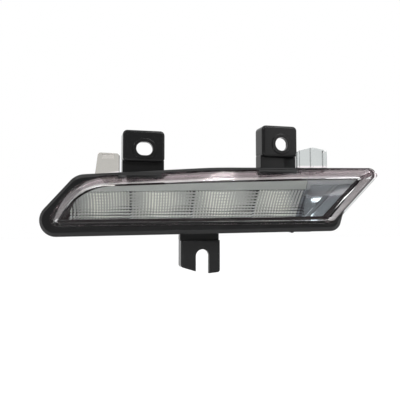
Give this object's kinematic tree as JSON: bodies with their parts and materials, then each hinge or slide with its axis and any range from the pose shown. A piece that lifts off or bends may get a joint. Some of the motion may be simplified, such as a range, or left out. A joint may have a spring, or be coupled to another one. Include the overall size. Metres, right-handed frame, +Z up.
{
  "type": "daytime running light",
  "caption": "Slim swept vehicle lamp with a black moulded housing, clear bevelled lens over a pillow-optic reflector, upper box tabs, a lower fork tab and a rear connector socket.",
  "frame": {"origin": "on the axis of the round hole in the right-hand upper tab, in the middle of the tab's wall", "axes": "X along the lamp to the right seen from the front, -Y to the front along the fixing holes, +Z up"},
  "size_m": [0.1844, 0.0793, 0.0849],
  "materials": {
    "housing_black": "fine moulded texture, slightly glossy edges",
    "clear_lens": "polished clear moulding",
    "metallised": "vapour-deposited metal",
    "sealant": "cured bead",
    "board_white": "white solder mask",
    "board_green": "green solder mask",
    "pad_grey": "soft filled pad",
    "sheet_aluminium": "mill finish",
    "screw_steel": "zinc plated",
    "diode_yellow": "phosphor under a dome",
    "package_black": "moulded package",
    "ferrite": "sintered core",
    "ceramic_tan": "fired ceramic",
    "header_cream": "moulded socket",
    "wire_red": "insulation",
    "wire_black": "insulation",
    "terminal_tin": "tinned brass",
    "membrane_white": "porous film",
    "cap_black": "moulded cap"
  },
  "bodies": {
    "root": {"housing": "housing_black", "outer_lens": "clear_lens", "lens_seal": "sealant", "reflector": "metallised", "led_board": "board_white", "thermal_pad": "pad_grey", "heat_sink": "sheet_aluminium", "board_screws": "screw_steel", "reflector_screws": "screw_steel", "driver_board": "board_green", "driver_screws": "screw_steel", "driver_chip": "package_black", "driver_inductor": "ferrite", "protection_diode": "package_black", "capacitors": "ceramic_tan", "resistors": "package_black", "board_header": "header_cream", "lead_positive": "wire_red", "lead_negative": "wire_black", "terminal_positive": "terminal_tin", "terminal_negative": "terminal_tin", "vent_membrane": "membrane_white", "vent_cap": "cap_black", "led_1": "diode_yellow", "led_2": "diode_yellow", "led_3": "diode_yellow", "led_4": "diode_yellow"}
  },
  "joints": []
}
